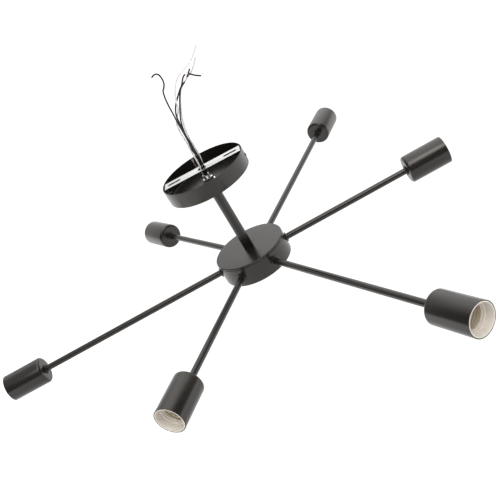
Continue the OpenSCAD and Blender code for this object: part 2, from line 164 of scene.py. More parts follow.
darkScrew = surfaceMaterial("darkScrew", {
    "tones": ((0.08, 0.072, 0.066), (0.15, 0.135, 0.12)), "toneScale": 300.0, "metallic": 1.0,
    "roughness": (0.26, 0.42), "glossScale": 700.0, "waves": (500.0, 1e-5), "grain": (2600.0, 6e-6),
})
brightNut = surfaceMaterial("brightNut", {
    "tones": ((0.70, 0.70, 0.69), (0.80, 0.80, 0.79)), "toneScale": 150.0, "metallic": 1.0,
    "roughness": (0.10, 0.20), "glossScale": 400.0, "waves": (500.0, 1e-5), "grain": (3000.0, 4e-6),
})
zincRod = surfaceMaterial("zincRod", {
    "tones": ((0.50, 0.50, 0.48), (0.66, 0.66, 0.64)), "toneScale": 220.0, "metallic": 1.0,
    "roughness": (0.22, 0.36), "glossScale": 500.0, "waves": (500.0, 1e-5), "grain": (2600.0, 5e-6),
})
holderCream = surfaceMaterial("holderCream", {
    "tones": ((0.61, 0.562, 0.502), (0.66, 0.612, 0.55)), "toneScale": 90.0,
    "roughness": (0.24, 0.36), "glossScale": 180.0, "waves": (160.0, 6e-6), "grain": (1800.0, 2e-6),
})
shellMetal = surfaceMaterial("shellMetal", {
    "tones": ((0.82, 0.76, 0.66), (0.90, 0.86, 0.77)), "toneScale": 180.0, "metallic": 1.0,
    "roughness": (0.42, 0.56), "glossScale": 400.0, "waves": (400.0, 1e-5), "grain": (2200.0, 6e-6),
})
contactBrass = surfaceMaterial("contactBrass", {
    "tones": ((0.62, 0.44, 0.20), (0.78, 0.60, 0.32)), "toneScale": 300.0, "metallic": 1.0,
    "roughness": (0.22, 0.38), "glossScale": 700.0, "waves": (600.0, 1e-5), "grain": (2600.0, 5e-6),
})
blockPlastic = surfaceMaterial("blockPlastic", {
    "tones": ((0.74, 0.71, 0.64), (0.82, 0.79, 0.72)), "toneScale": 120.0,
    "roughness": (0.40, 0.52), "glossScale": 300.0, "waves": (300.0, 2e-5), "grain": (2000.0, 1e-5),
})


def leadMaterial(name, tones, roughness, ior):
    # Extruded insulation: faint lengthwise drag lines, read from the lead's own map
    return surfaceMaterial(name, {
        "coords": "UV", "ior": ior, "tones": tones, "toneScale": 40.0,
        "roughness": roughness, "glossScale": 90.0, "waves": (12.0, 1e-5), "grain": (400.0, 1.5e-6),
    })


def strandMaterial(name, tones, roughness):
    # Bare twisted wire, on the same map
    return surfaceMaterial(name, {
        "coords": "UV", "metallic": 1.0, "tones": tones, "toneScale": 80.0,
        "roughness": roughness, "glossScale": 160.0, "waves": (60.0, 2e-5), "grain": (500.0, 1e-5),
    })


blackInsulation = leadMaterial("blackInsulation", ((0.006,) * 3, (0.010,) * 3), (0.24, 0.30), 1.3)
whiteInsulation = leadMaterial("whiteInsulation", ((0.60,) * 3, (0.66,) * 3), (0.34, 0.42), 1.45)
copperStrand = strandMaterial("copperStrand", ((0.78, 0.50, 0.42), (0.90, 0.66, 0.58)), (0.26, 0.42))
# Painted shade: a darkened copy of the copper strand for the earth lead's body, which lies in shadow; only its
# frayed end keeps a lighter copper
shadedCopperStrand = strandMaterial("shadedCopperStrand", ((0.055, 0.046, 0.040), (0.095, 0.080, 0.070)), (0.40, 0.60))
frayedStrand = strandMaterial("frayedStrand", ((0.20, 0.150, 0.135), (0.36, 0.28, 0.255)), (0.40, 0.60))
print("materials made")


# Mesh helpers

def markCreases(mesh, degrees=32.0):
    shape = bmesh.new()
    shape.from_mesh(mesh)
    for edge in shape.edges:
        edge.smooth = not (len(edge.link_faces) == 2 and edge.calc_face_angle(0.0) > math.radians(degrees))
    for face in shape.faces:
        face.smooth = True
    shape.to_mesh(mesh)
    shape.free()


def newMesh(name, points, faces, materials, slots=()):
    mesh = bpy.data.meshes.new(name)
    mesh.from_pydata(points, [], faces)
    for material in materials:
        mesh.materials.append(material)
    for face, index in zip(mesh.polygons, slots):
        face.material_index = index
    return mesh


def makePiece(name, points, faces, material):
    mesh = newMesh(name, points, faces, [material])
    shape = bmesh.new()
    shape.from_mesh(mesh)
    bmesh.ops.remove_doubles(shape, verts=shape.verts, dist=1e-7)
    bmesh.ops.dissolve_degenerate(shape, edges=shape.edges, dist=1e-8)
    bmesh.ops.recalc_face_normals(shape, faces=shape.faces)
    shape.to_mesh(mesh)
    shape.free()
    markCreases(mesh)
    return linked(name, mesh)


def shift(x, y, z):
    return Matrix.Translation((x * mm, y * mm, z * mm))


def rotation(degrees, axis):
    return Matrix.Rotation(math.radians(degrees), 4, axis)


def roundCorners(corners):
    # Corners are (radius, height, rounding); each rounded one becomes a short arc
    stepDegrees, mostOfSide = 12, 0.49
    outline = []
    count = len(corners)
    for i, (x, y, rounding) in enumerate(corners):
        here = Vector((x, y))
        before = Vector(corners[i - 1][:2]) - here
        after = Vector(corners[(i + 1) % count][:2]) - here
        if rounding <= 0.0 or before.length < 1e-9 or after.length < 1e-9:
            outline.append((x, y))
            continue
        a, b = before.normalized(), after.normalized()
        angle = a.angle(b)
        reach = min(rounding / math.tan(angle / 2), mostOfSide * before.length, mostOfSide * after.length)
        radius = reach * math.tan(angle / 2)
        centre = here + (a + b).normalized() * (radius / math.sin(angle / 2))
        start, end = here + a * reach - centre, here + b * reach - centre
        sweep = math.pi - angle
        steps = max(2, int(math.ceil(math.degrees(sweep) / stepDegrees)))
        side = 1.0 if start.x * end.y - start.y * end.x > 0 else -1.0
        for k in range(steps + 1):
            t = side * sweep * k / steps
            outline.append((centre.x + start.x * math.cos(t) - start.y * math.sin(t),
                            centre.y + start.x * math.sin(t) + start.y * math.cos(t)))
    return outline


def turned(name, corners, material, around):
    # Turns a closed outline about the Z axis
    outline = [(r * mm, z * mm) for r, z in roundCorners(corners)]
    points, faces = [], []
    count = len(outline)
    for r, z in outline:
        for k in range(around):
            t = 2 * math.pi * k / around
            points.append((r * math.cos(t), r * math.sin(t), z))
    for i in range(count):
        j = (i + 1) % count
        if outline[i][0] < 1e-9 and outline[j][0] < 1e-9:
            continue
        for k in range(around):
            m = (k + 1) % around
            faces.append((i * around + k, i * around + m, j * around + m, j * around + k))
    return makePiece(name, points, faces, material)


def finalMesh(piece):
    # The mesh after the live modifiers, or the filled mesh of a curve
    bpy.context.view_layer.update()
    return bpy.data.meshes.new_from_object(piece.evaluated_get(bpy.context.evaluated_depsgraph_get()))


def takeMesh(piece):
    result = finalMesh(piece)
    piece.modifiers.clear()
    piece.data = result


def cutBy(piece, cutter):
    modifier = piece.modifiers.new("cut", "BOOLEAN")
    modifier.operation = "DIFFERENCE"
    modifier.solver = "EXACT"
    modifier.object = cutter
    takeMesh(piece)
    bpy.data.objects.remove(cutter)
    markCreases(piece.data)


def joined(name, parts):
    # Several pieces as one plain mesh, with their materials
    points, faces, slots, materials = [], [], [], []
    for part in parts:
        base = len(points)
        points += [part.matrix_world @ v.co for v in part.data.vertices]
        for face in part.data.polygons:
            faces.append([base + i for i in face.vertices])
            material = part.data.materials[face.material_index]
            if material not in materials:
                materials.append(material)
            slots.append(materials.index(material))
    mesh = newMesh(name, points, faces, materials, slots)
    markCreases(mesh)
    for part in parts:
        bpy.data.objects.remove(part)
    return linked(name, mesh)


def moved(piece, matrix):
    piece.data.transform(matrix)
    piece.data.update()
    return piece


def copied(piece, name, matrix):
    return moved(linked(name, piece.data.copy()), matrix)


def settle(piece, body, slotName, *nodes):
    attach(piece, body)
    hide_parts(*nodes)


def rod(radius, low, high):
    # Plain cutter along Z
    outline = [(0, low, 0), (radius, low, 0), (radius, high, 0), (0, high, 0)]
    return turned("cutter", outline, blackPaint, around=48)


# Corners round one end of a box, and the faces of a box given as two such ends
endCorners = ((-1, -1), (1, -1), (1, 1), (-1, 1))
boxFaces = [(3, 2, 1, 0), (4, 5, 6, 7), (0, 1, 5, 4), (1, 2, 6, 5), (2, 3, 7, 6), (3, 0, 4, 7)]


def hexNut(name, acrossFlats, bore, height, material):
    # Six flats whose corners are turned off at both faces
    around, chamfer, coneShare, coneSlope = 96, 0.4, 0.97, math.tan(math.radians(30))
    flat = acrossFlats / 2
    cone = flat * coneShare
    points, faces = [], []
    for k in range(around):
        t = 2 * math.pi * k / around
        corner = flat / math.cos(t % (math.pi / 3) - math.pi / 6)
        drop = (corner - cone) * coneSlope
        row = [(bore, chamfer), (bore + chamfer, 0), (cone, 0), (corner, drop), (corner, height - drop),
               (cone, height), (bore + chamfer, height), (bore, height - chamfer)]
        points += [(r * math.cos(t) * mm, r * math.sin(t) * mm, z * mm) for r, z in row]
    count = len(row)
    for k in range(around):
        m = (k + 1) % around
        for i in range(count):
            j = (i + 1) % count
            faces.append((k * count + i, m * count + i, m * count + j, k * count + j))
    return makePiece(name, points, faces, material)


# Geometry Nodes trees with named sizes

def startTree(name, labels):
    tree = bpy.data.node_groups.new(name, "GeometryNodeTree")
    sockets = {}
    for kind, names in labels.items():
        for label in names:
            socket = tree.interface.new_socket(name=label, in_out="INPUT", socket_type="NodeSocket" + kind)
            sockets[label] = socket.identifier
    tree.interface.new_socket(name="Geometry", in_out="OUTPUT", socket_type="NodeSocketGeometry")
    return tree, sockets, tree.nodes.new("NodeGroupInput").outputs


def finishTree(tree, geometry, finish):
    realized = addNode(tree, "GeometryNodeRealizeInstances", {"Geometry": geometry}).outputs["Geometry"]
    painted = addNode(tree, "GeometryNodeSetMaterial", {"Geometry": realized, "Material": finish})
    addNode(tree, "NodeGroupOutput", {"Geometry": painted.outputs["Geometry"]})


def runTree(name, treeAndSockets, values, material):
    # Gives a tree its values and keeps the mesh that it makes
    tree, sockets = treeAndSockets
    piece = linked(name, bpy.data.meshes.new(name))
    modifier = piece.modifiers.new("tree", "NODES")
    modifier.node_group = tree
    for label, value in values.items():
        modifier[sockets[label]] = value
    modifier[sockets["Finish"]] = material
    takeMesh(piece)
    if not piece.data.materials:
        piece.data.materials.append(material)
    return piece


def threadTree(name, filled):
    tree, sockets, given = startTree(name, {
        "Float": ("Radius", "Depth", "Pitch", "Length", "Sharpness"), "Int": ("Around", "Rows"),
        "Material": ("Finish",)})
    tube = addNode(tree, "GeometryNodeMeshCylinder", {
        "Vertices": given["Around"], "Side Segments": given["Rows"], "Radius": given["Radius"],
        "Depth": given["Length"]}, fill_type="NGON" if filled else "NONE")
    position = tree.nodes.new("GeometryNodeInputPosition").outputs[0]
    x, y, z = addNode(tree, "ShaderNodeSeparateXYZ", {0: position}).outputs
    turn = maths(tree, "DIVIDE", maths(tree, "ARCTAN2", y, x), 2 * math.pi)
    phase = maths(tree, "SUBTRACT", maths(tree, "DIVIDE", z, given["Pitch"]), turn)
    cosine = maths(tree, "COSINE", maths(tree, "MULTIPLY", phase, 2 * math.pi))
    mix = addNode(tree, "ShaderNodeMix", {
        "Factor": given["Sharpness"], "A": maths(tree, "MULTIPLY_ADD", cosine, 0.5, 0.5),
        "B": maths(tree, "MULTIPLY", maths(tree, "PINGPONG", phase, 0.5), 2.0)})
    # The thread fades out over its last half turn at each end
    fromEnd = maths(tree, "SUBTRACT", maths(tree, "DIVIDE", given["Length"], 2.0), maths(tree, "ABSOLUTE", z))
    fade = maths(tree, "DIVIDE", fromEnd, maths(tree, "MULTIPLY", given["Pitch"], 0.5))
    fade.node.use_clamp = True
    shrink = maths(tree, "MULTIPLY", maths(tree, "MULTIPLY", mix.outputs["Result"], fade), given["Depth"])
    factor = maths(tree, "DIVIDE", maths(tree, "SUBTRACT", given["Radius"], shrink), given["Radius"])
    merged = addNode(tree, "ShaderNodeCombineXYZ", {
        "X": maths(tree, "MULTIPLY", x, factor), "Y": maths(tree, "MULTIPLY", y, factor), "Z": z})
    place = addNode(tree, "GeometryNodeSetPosition", {
        "Geometry": tube.outputs["Mesh"], "Position": merged.outputs[0]})
    finishTree(tree, place.outputs["Geometry"], given["Finish"])
    return tree, sockets


filledThread = threadTree("filledThread", True)
openThread = threadTree("openThread", False)


def threaded(name, tree, size, material, sharpness, around, rows):
    # The size gives the outer radius, the thread's depth, its pitch and the length
    values = {label: value * mm for label, value in zip(("Radius", "Depth", "Pitch", "Length"), size)}
    values.update({"Sharpness": sharpness, "Around": around, "Rows": rows})
    piece = runTree(name, tree, values, material)
    markCreases(piece.data, degrees=50.0)
    return piece


# Pan heads, as shares of the head's width or height; rimRound, crossOver and overlap are in millimetres
panHead = {
    "rimRound": 0.15, "rim": 0.45, "sideRound": 0.3, "crown": 0.62, "crownRound": 0.5,
    "crossWide": 0.09, "crossLong": 0.30, "crossDeep": 0.62, "crossFloor": 0.55, "crossTop": 1.12,
    "crossOver": 0.5, "around": 64, "threadAround": 40, "rowsPerTurn": 8, "overlap": 0.1,
}


def panScrew(name, size, material):
    # Head above zero, thread below it, with a cross recess
    p, r, h = panHead, size["head"] / 2, size["headHeight"]
    head = turned(name + "Head", [
        (0, 0, 0), (r, 0, p["rimRound"]), (r, h * p["rim"], p["sideRound"] * h),
        (r * p["crown"], h, p["crownRound"] * h), (0, h, 0)], material, around=p["around"])
    long, wide = p["crossLong"] * size["head"], p["crossWide"] * size["head"]
    ends = ((h - p["crossDeep"] * h, p["crossFloor"]), (h + p["crossOver"], p["crossTop"]))
    points = [(sx * long * f * mm, sy * wide * f * mm, z * mm) for z, f in ends for sx, sy in endCorners]
    for angle in (0, 90):
        cutBy(head, moved(makePiece("cross", points, boxFaces, material), rotation(angle, "Z")))
    sizes = (size["thread"] / 2, size["depth"], size["pitch"], size["length"])
    rows = int(size["length"] / size["pitch"] * p["rowsPerTurn"])
    shank = threaded(name + "Shank", filledThread, sizes, material, sharpness=1.0, around=p["threadAround"],
                     rows=rows)
    moved(shank, shift(0, 0, p["overlap"] - size["length"] / 2))
    return joined(name, [head, shank])


# Free leads come first: their routes are those of the solids, from inside the rod to their ends
leads = {
    "blackLead1": {
        "node": "black_lead_1", "insulation": blackInsulation, "radius": 1.0,
        "route": [(0.1, -2.6, -14), (0.1, -2.6, -8), (2, -2.7, 6.1), (2.8, -3.4, 19), (2.2, -3.6, 29.8),
                  (3.6, -3.6, 44), (4, -3.6, 56.1), (4.2, -3.6, 69.8), (5, -3.6, 82.9), (5.4, -3.4, 94.6),
                  (6.8, -3, 106.7), (9, -2.8, 114.4), (12, -2.8, 117.6), (14.3, -2.8, 121.2),
                  (15.5, -2.8, 125.2), (15.4, -2.8, 131.6), (14.2, -2.8, 135.2), (11.2, -2.8, 137.2),
                  (8, -2.8, 137), (5.2, -2.8, 135.7)]},
    "blackLead2": {
        "node": "black_lead_2", "insulation": blackInsulation, "radius": 1.0, "bare": [(148.0, 152.0)],
        "route": [(2.4, -1.1, -14), (2.4, -1.1, -8), (4.2, -1.6, 5.3), (4.6, -1.3, 17.2), (4.6, -1.2, 27.5),
                  (4.7, -1.2, 42.4), (4.4, -1.2, 55), (5.7, -1.2, 68.1), (7.4, -1.2, 79.3), (10.7, -1, 86.4),
                  (14, -0.8, 91.2), (20.9, -0.8, 98.5), (27.7, -0.9, 104.9), (32.7, -1, 109),
                  (35.6, -1, 112.5), (38.5, -1, 116), (42.3, -1, 118.6), (46.4, -0.8, 118.2),
                  (49.9, -0.6, 115.3), (54.2, 0, 111.3), (60.1, 0.4, 107.3)]},
    "blackLead3": {
        "node": "black_lead_3", "insulation": blackInsulation, "radius": 1.0, "bare": [(136.8, 143.3)],
        "route": [(-2, 1.7, -14), (-2, 1.7, -8), (2.2, 1, 6.3), (3.5, 1.2, 17.6), (3.3, 1.2, 28.1),
                  (3.8, 1.2, 42), (4.9, 1.2, 53.8), (7.4, 1.3, 66.2), (12.1, 1.4, 77.3), (17.7, 1.5, 87.6),
                  (22.9, 1.5, 96.6), (28.9, 1.5, 105), (34.5, 1.7, 108.7), (39.4, 1.8, 111.3),
                  (44.2, 1.8, 114.9), (48.5, 1.8, 118.7), (51.9, 1.7, 121.8)]},
    "whiteLead1": {
        "node": "white_lead_1", "insulation": whiteInsulation, "radius": 1.0, "bare": [(172.1, 178.2)],
        "route": [(-2.4, -1.1, -14), (-2.4, -1.1, -8), (-0.1, -4, 7.7), (0.1, -3.4, 17.4), (-0.1, -2.2, 29.7),
                  (0.3, -1, 44.8), (0, 0.4, 56.9), (1.7, 1.4, 68.7), (6.7, 1.4, 75.7), (11.3, 0.2, 81.1),
                  (14.2, -2.4, 86.4), (15.9, -3.6, 91.8), (18.2, -3.7, 99.4), (22.9, -3.4, 108.4),
                  (27.6, -3.2, 115.1), (33.7, -3.2, 120.4), (42.8, -3.2, 124.6), (52.6, -3, 127.9),
                  (59.4, -2.8, 131.4), (65, -2.6, 136.1), (73.6, -2.4, 144.4)]},
    "whiteLead2": {
        "node": "white_lead_2", "insulation": whiteInsulation, "radius": 1.0,
        "route": [(2.1, 1.7, -14), (2.1, 1.7, -8), (4.4, 3.4, 6.5), (5.9, 3.8, 17.6), (6, 4, 28.6),
                  (5.9, 4, 39.7), (6.8, 4, 51.7), (9.4, 4, 64.2), (13.5, 4, 75.6), (18.3, 4.2, 86.4),
                  (23.9, 4.2, 96.7), (29.7, 4.2, 104.5), (37.5, 4.2, 109.7), (45.1, 4.2, 113.7),
                  (51.2, 4.2, 116.8), (56.3, 4.2, 120.9), (61.1, 4.2, 126), (64.8, 4.2, 130.3)]},
    "earthLead": {
        "node": "earth_lead", "insulation": shadedCopperStrand, "radius": 0.7,
        "tuft": {
            "strand": frayedStrand, "strands": 18, "length": 9.0, "shortest": 0.82, "uneven": 0.18,
            "thickness": 0.16, "sides": 6, "steps": 12, "gathered": 0.42, "spread": 1.9, "flare": 1.4,
            "goldenAngle": 137.5},
        "route": [(0, 2.9, -14), (0, 2.9, -9.5), (-1.1, 5.9, -6.6), (-4.7, 13.7, -5.3), (-9, 25, -4.6),
                  (-11.1, 33, -3.1), (-11.9, 40.5, -0.6), (-11.9, 46.5, 1.9)]},
}


def between(a, b, start, end, t):
    return a * ((end - t) / (end - start)) + b * ((t - start) / (end - start))


def smoothRoute(points):
    # Passes through every point, with soft bends, sampled evenly
    spacing, samples = 0.5, 40
    p = [Vector(q) for q in points]
    p = [p[0] * 2 - p[1]] + p + [p[-1] * 2 - p[-2]]
    dense = []
    for i in range(1, len(p) - 2):
        a, b, c, d = p[i - 1:i + 3]
        gaps = [max((v - u).length, 1e-6) ** 0.5 for u, v in ((a, b), (b, c), (c, d))]
        t0, t1 = 0.0, gaps[0]
        t2 = t1 + gaps[1]
        t3 = t2 + gaps[2]
        for k in range(samples):
            t = t1 + (t2 - t1) * k / samples
            a1, a2, a3 = between(a, b, t0, t1, t), between(b, c, t1, t2, t), between(c, d, t2, t3, t)
            dense.append(between(between(a1, a2, t0, t2, t), between(a2, a3, t1, t3, t), t1, t2, t))
    dense.append(p[-2])
    dense = np.array(dense)
    along = np.r_[0.0, np.cumsum(np.linalg.norm(np.diff(dense, axis=0), axis=1))]
    count = max(2, int(round(along[-1] / spacing)))
    stations = np.linspace(0.0, along[-1], count + 1)
    even = np.column_stack([np.interp(stations, along, dense[:, i]) for i in range(3)])
    return even, stations


# Surface of a lead: its sides, the lobes of twisted strands, the core and cut edge of a stripped stretch, a
# direction that no lead starts along, and the scale of its map
leadShape = {
    "around": 28, "lobes": 7, "lobeMiddle": 0.93, "lobeDepth": 0.07, "lay": 6.0, "core": 0.5,
    "edgeLength": 0.5, "edge": 0.94, "aside": (0.3, 1.0, 0.1), "capStep": 0.1, "mapScale": 10.0,
}


def tuftStrands(tuft, path, stations, tangents, first):
    # Fine strands that fan out from the cut end, each as rings of points
    across = np.cross(tangents[first], (0.0, 0.0, 1.0))
    across /= np.linalg.norm(across)
    upwards = np.cross(across, tangents[first])
    length = stations[-1] - stations[first]
    for n in range(tuft["strands"]):
        # The golden angle fills a disc evenly, and five lengths take turns
        turn = n * math.radians(tuft["goldenAngle"])
        share = math.sqrt((n + 0.5) / tuft["strands"])
        outward = math.cos(turn) * across + math.sin(turn) * upwards
        reached = length * (tuft["shortest"] + tuft["uneven"] * ((7 * n) % 5) / 4)
        rings = []
        for i in range(tuft["steps"] + 1):
            s = reached * i / tuft["steps"]
            centre = np.array([np.interp(stations[first] + s, stations, path[:, j]) for j in range(3)])
            fan = tuft["gathered"] + (tuft["spread"] - tuft["gathered"]) * (s / length) ** tuft["flare"]
            centre = centre + outward * fan * share
            angles = [math.radians(360 / tuft["sides"] * k) for k in range(tuft["sides"])]
            rings.append([centre + tuft["thickness"] * (math.cos(t) * across + math.sin(t) * upwards)
                          for t in angles])
        yield rings


def sweepLead(name, spec):
    # Insulation that stops short at each stripped stretch, where twisted strands show
    path, stations = smoothRoute(spec["route"])
    w, around, stripped, tuft = leadShape, leadShape["around"], spec.get("bare", []), spec.get("tuft")
    tangents = np.gradient(path, axis=0)
    tangents /= np.linalg.norm(tangents, axis=1)[:, None]
    side = np.cross(tangents[0], w["aside"])
    rings, bareRings = [], []
    for centre, ahead, s in zip(path, tangents, stations):
        side = side - ahead * np.dot(side, ahead)
        side /= np.linalg.norm(side)
        up = np.cross(ahead, side)
        bare = any(low <= s <= high for low, high in stripped)
        atEdge = any(abs(s - edge) < w["edgeLength"] for pair in stripped for edge in pair)
        radius = spec["radius"] * (w["core"] if bare else 1.0)
        ring = []
        for k in range(around):
            t = 2 * math.pi * k / around
            lobes = w["edge"] if atEdge else 1.0
            if bare or spec["insulation"] is shadedCopperStrand:
                lobes = w["lobeMiddle"] + w["lobeDepth"] * math.cos(w["lobes"] * t + 2 * math.pi * s / w["lay"])
            ring.append(centre + radius * lobes * (math.cos(t) * side + math.sin(t) * up))
        rings.append(ring)
        bareRings.append(bare)
    points, faces, slots, maps = [], [], [], []

    def addTube(rings, across, along, bareRings):
        # Closed tube through the rings, mapped by its side width and by how far along each ring lies
        first, sides, last = len(points), len(rings[0]), len(rings) - 1
        points.extend(tuple(q * mm for q in p) for ring in rings for p in ring)
        for i in range(last):
            low, high = first + i * sides, first + (i + 1) * sides
            for k in range(sides):
                m = (k + 1) % sides
                faces.append((low + k, low + m, high + m, high + k))
                slots.append(1 if bareRings[i] and bareRings[i + 1] else 0)
                maps.extend([(k * across, along[i]), ((k + 1) * across, along[i]),
                             ((k + 1) * across, along[i + 1]), (k * across, along[i + 1])])
        for row, order in ((0, range(sides - 1, -1, -1)), (last, range(sides))):
            faces.append([first + row * sides + k for k in order])
            slots.append(1)
            maps.extend([(k * w["capStep"] * mm, 0.0) for k in range(sides)])

    if tuft:
        rings = rings[:int(np.searchsorted(stations, stations[-1] - tuft["length"])) + 1]
    addTube(rings, 2 * math.pi * spec["radius"] * mm / around, stations * mm, bareRings)
    if tuft:
        for strand in tuftStrands(tuft, path, stations, tangents, len(rings) - 2):
            count = len(strand)
            addTube(strand, mm, [i * mm for i in range(count)], [True] * count)
    mesh = newMesh(name, points, faces, [spec["insulation"], tuft["strand"] if tuft else copperStrand], slots)
    layer = mesh.uv_layers.new(name="lengthwise")
    layer.data.foreach_set("uv", np.array(maps, dtype=np.float32).ravel() * w["mapScale"])
    markCreases(mesh, degrees=40.0)
    return linked(name, mesh), path * mm, stations[-1] * mm


# Sizes that the whole light is set out from, in millimetres; heights go down from the ceiling
light = {
    "canopyRadius": 60.0, "canopyHeight": 22.5, "sheet": 1.0, "stemLength": 112.0, "hubHeight": 32.0,
    "lid": 1.2, "armDrop": 16.5, "rodRadius": 4.9, "rodDrop": 10.5, "rodTail": 2.0, "nutHeight": 5.0,
    "washer": 1.0, "armRadius": 4.5, "threadGap": 0.05, "holeGap": 0.2, "sideScrewDrop": 12.0,
    "sideScrew": 4.0,
}
canopyFloor = light["sheet"] - light["canopyHeight"]
lidTop = -light["canopyHeight"] - light["stemLength"]
lidUnder = lidTop - light["lid"]
armHeight = lidTop - light["armDrop"]
hubBottom = lidTop - light["hubHeight"]
rodHole = light["rodRadius"] + light["holeGap"]
armHole = light["armRadius"] + light["threadGap"]

leadSlots = {"black": "black_lead", "white": "white_lead", "earth": "earth_wire"}
for name, spec in leads.items():
    lead, path, length = sweepLead(name, spec)
    settle(lead, "canopy_body", leadSlots[name[:5]], spec["node"])
    tuple(path[0])
    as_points(path)
print("leads swept:", len(leads))


# Canopy, strap and what holds them. Its band is the part of the wall with the screw holes, and cutters reach
# past the walls.
canopy = {
    "radius": light["canopyRadius"], "height": light["canopyHeight"], "wall": light["sheet"], "edge": 2.0,
    "rim": 0.42, "holeEdge": 0.15, "rodHole": rodHole, "screwHole": light["sideScrew"] / 2 + light["holeGap"],
    "screwDrop": light["sideScrewDrop"], "band": 3.0, "cutPast": 5.0,
}
c = canopy
insideRadius = c["radius"] - c["wall"]
bandLow, bandHigh, floorAbove = -c["screwDrop"] - c["band"], c["band"] - c["screwDrop"], c["wall"] - c["height"]
shell = turned("canopyCup", [
    (c["rodHole"], -c["height"], c["holeEdge"]), (c["radius"], -c["height"], c["edge"]),
    (c["radius"], bandLow, 0), (c["radius"], bandHigh, 0), (c["radius"], 0, c["rim"]),
    (insideRadius, 0, c["rim"]), (insideRadius, bandHigh, 0), (insideRadius, bandLow, 0),
    (insideRadius, floorAbove, c["edge"] - c["wall"]), (c["rodHole"], floorAbove, c["holeEdge"]),
], blackPaint, around=192)
hole = rod(c["screwHole"], -c["radius"] - c["cutPast"], c["radius"] + c["cutPast"])
cutBy(shell, moved(hole, shift(0, 0, -c["screwDrop"]) @ rotation(90, "Y")))
settle(shell, "canopy_body", "black_paint", "canopy")

strap = {
    "width": 20.0, "thick": 1.2, "tab": 16.5, "bend": 2.0, "edge": 0.15, "sideGap": 0.5,
    "leadHole": 6.0, "slotAt": 42.5, "slotLength": 19.5, "slotWidth": 5.5, "corner": 1.2, "bendSteps": 8,
    "screwDrop": light["sideScrewDrop"], "screwHole": light["sideScrew"] / 2 + light["threadGap"],
}
strap["halfLength"] = math.sqrt(insideRadius ** 2 - (strap["width"] / 2) ** 2) - strap["sideGap"]


def arcOf(cx, cy, radius, low, high, steps):
    return [(cx + radius * math.cos(math.radians(low + (high - low) * k / steps)),
             cy + radius * math.sin(math.radians(low + (high - low) * k / steps))) for k in range(steps + 1)]


def circleOf(cx, radius, sides):
    return arcOf(cx, 0, radius, 0, 360 - 360 / sides, sides - 1)


def makeStrap(s):
    rho = s["bend"] - s["thick"] / 2
    flat = s["halfLength"] - s["bend"]
    arc = rho * math.pi / 2
    half = flat + arc + s["tab"] - s["bend"]
    w, k = s["width"] / 2, s["corner"]
    rim = [point for start, (sx, sy) in zip((0, 90, 180, 270), ((1, 1), (-1, 1), (-1, -1), (1, -1)))
           for point in arcOf(sx * (half - k), sy * (w - k), k, start, start + 90, steps=6)]
    outlines = [rim, circleOf(0, s["leadHole"], sides=48)]
    run = (s["slotLength"] - s["slotWidth"]) / 2
    screwAt = flat + arc + s["screwDrop"] - s["bend"]
    for side in (-1, 1):
        x = side * s["slotAt"]
        outlines.append(arcOf(x + run, 0, s["slotWidth"] / 2, -90, 90, steps=12)
                        + arcOf(x - run, 0, s["slotWidth"] / 2, 90, 270, steps=12))
        outlines.append(circleOf(side * screwAt, s["screwHole"], sides=24))
    data = bpy.data.curves.new("strapPlate", "CURVE")
    data.dimensions = "2D"
    data.fill_mode = "BOTH"
    data.extrude = (s["thick"] / 2 - s["edge"]) * mm
    data.bevel_depth = s["edge"] * mm
    data.bevel_resolution = 2
    data.offset = -s["edge"] * mm
    for outline in outlines:
        spline = data.splines.new("POLY")
        spline.points.add(len(outline) - 1)
        for point, (x, y) in zip(spline.points, outline):
            point.co = (x * mm, y * mm, 0.0, 1.0)
        spline.use_cyclic_u = True
    plate = linked("strapPlate", data)
    mesh = finalMesh(plate)
    bpy.data.objects.remove(plate)
    shape = bmesh.new()
    shape.from_mesh(mesh)
    bmesh.ops.remove_doubles(shape, verts=shape.verts, dist=1e-7)
    for side in (-1, 1):
        for step in range(s["bendSteps"] + 1):
            at = side * (flat + arc * step / s["bendSteps"]) * mm
            bmesh.ops.bisect_plane(shape, geom=shape.verts[:] + shape.edges[:] + shape.faces[:], dist=1e-7,
                                   plane_co=(at, 0, 0), plane_no=(1, 0, 0))
    for vert in shape.verts:
        side = 1 if vert.co.x >= 0 else -1
        x, h = abs(vert.co.x) / mm, vert.co.z / mm
        if x <= flat:
            z = h - s["thick"] / 2
        elif x <= flat + arc:
            turn = (x - flat) / rho
            x, z = flat + (rho + h) * math.sin(turn), (rho + h) * math.cos(turn) - s["bend"]
        else:
            x, z = flat + rho + h, -s["bend"] - (x - flat - arc)
        vert.co = (side * x * mm, vert.co.y, z * mm)
    bmesh.ops.recalc_face_normals(shape, faces=shape.faces)
    shape.to_mesh(mesh)
    shape.free()
    mesh.materials.clear()
    mesh.materials.append(zincStrap)
    markCreases(mesh, degrees=38.0)
    return linked("ceilingStrap", mesh)


settle(makeStrap(strap), "canopy_body", "zinc_strap", "crossbar")

# The crosses of the screws stand at odd angles, in radians
sideScrew = {
    "thread": light["sideScrew"], "pitch": 0.7, "depth": 0.3, "length": 9.0, "head": 5.5, "headHeight": 0.9,
    "crossTurn": 0.4,
}
screwParts = []
for side in (-1, 1):
    screw = panScrew("sideScrew", sideScrew, darkScrew)
    place = shift(side * canopy["radius"], 0, -canopy["screwDrop"]) @ rotation(side * 90, "Y")
    screwParts.append(moved(screw, place @ Matrix.Rotation(sideScrew["crossTurn"] + side, 4, "Z")))
settle(joined("sideScrews", screwParts), "canopy_body", "dark_screw", "side_screws")
print("canopy and strap made")


# Lock washer: twisted teeth set round a ring by Geometry Nodes
washer = {
    "inner": rodHole, "root": 7.4, "outer": 9.75, "thick": 0.5, "lift": 0.25, "edge": 0.1, "overlap": 0.1,
    "teeth": 12, "twist": 16.0, "toothStart": -0.2, "toothHalf": 1.45, "taper": 0.86,
}


